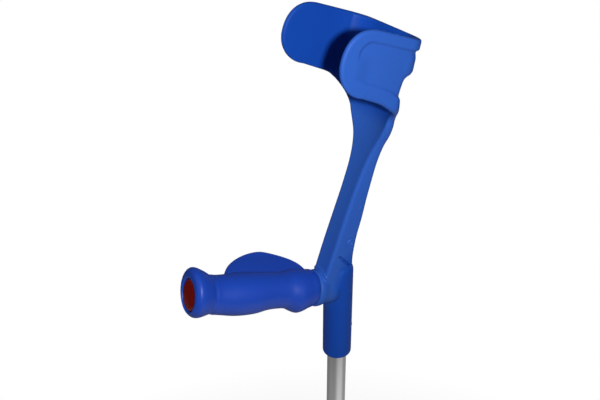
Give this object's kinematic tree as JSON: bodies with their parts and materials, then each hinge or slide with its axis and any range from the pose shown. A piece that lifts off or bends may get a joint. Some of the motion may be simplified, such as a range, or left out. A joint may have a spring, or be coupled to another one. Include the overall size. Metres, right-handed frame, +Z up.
{
  "type": "forearm crutch",
  "caption": "Forearm crutch: an open plastic cuff moulded in one with its shaft and handle core, a soft grip with a palm rest, and a height-adjustable aluminium leg on a rubber ferrule.",
  "frame": {"origin": "centre of the ferrule's sole, where the crutch meets the ground", "axes": "+Z up along the tubes, the handle points forward along -X, the palm rest is on the outer side, +Y (right hand)"},
  "size_m": [0.2161, 0.1017, 1.1539],
  "materials": {
    "blue_plastic": "moulded, satin",
    "blue_grip": "moulded soft plastic, matt",
    "red_reflector": "clear red, glossy",
    "anodised_tube": "drawn and anodised, satin",
    "rivet_steel": "plain",
    "black_plastic": "moulded, satin",
    "white_plastic": "moulded, satin",
    "polished_steel": "polished",
    "spring_steel": "rolled strip",
    "grey_rubber": "moulded rubber, matt"
  },
  "bodies": {
    "upper": {"handle_moulding": "blue_plastic", "grip_sleeve": "blue_grip", "end_reflector": "red_reflector", "upper_tube": "anodised_tube", "sleeve_rivet": "rivet_steel", "tube_collar": "black_plastic"},
    "leg": {"leg_tube": "anodised_tube", "leg_top_bush": "white_plastic", "button_spring": "spring_steel", "ferrule": "grey_rubber", "ferrule_washer": "rivet_steel"},
    "button": {"height_button": "polished_steel"}
  },
  "joints": [
    {"name": "height_slide", "type": "slide", "parent": "upper", "child": "leg", "axis": [0, 0, -1], "range_m": [-0.075, 0.075]},
    {"name": "button_press", "type": "slide", "parent": "leg", "child": "button", "axis": [-1, 0, 0], "range_m": [0, 0.004], "stiffness_N_per_m": 1500, "springref_m": -0.003, "deforming": ["button_spring"]}
  ]
}
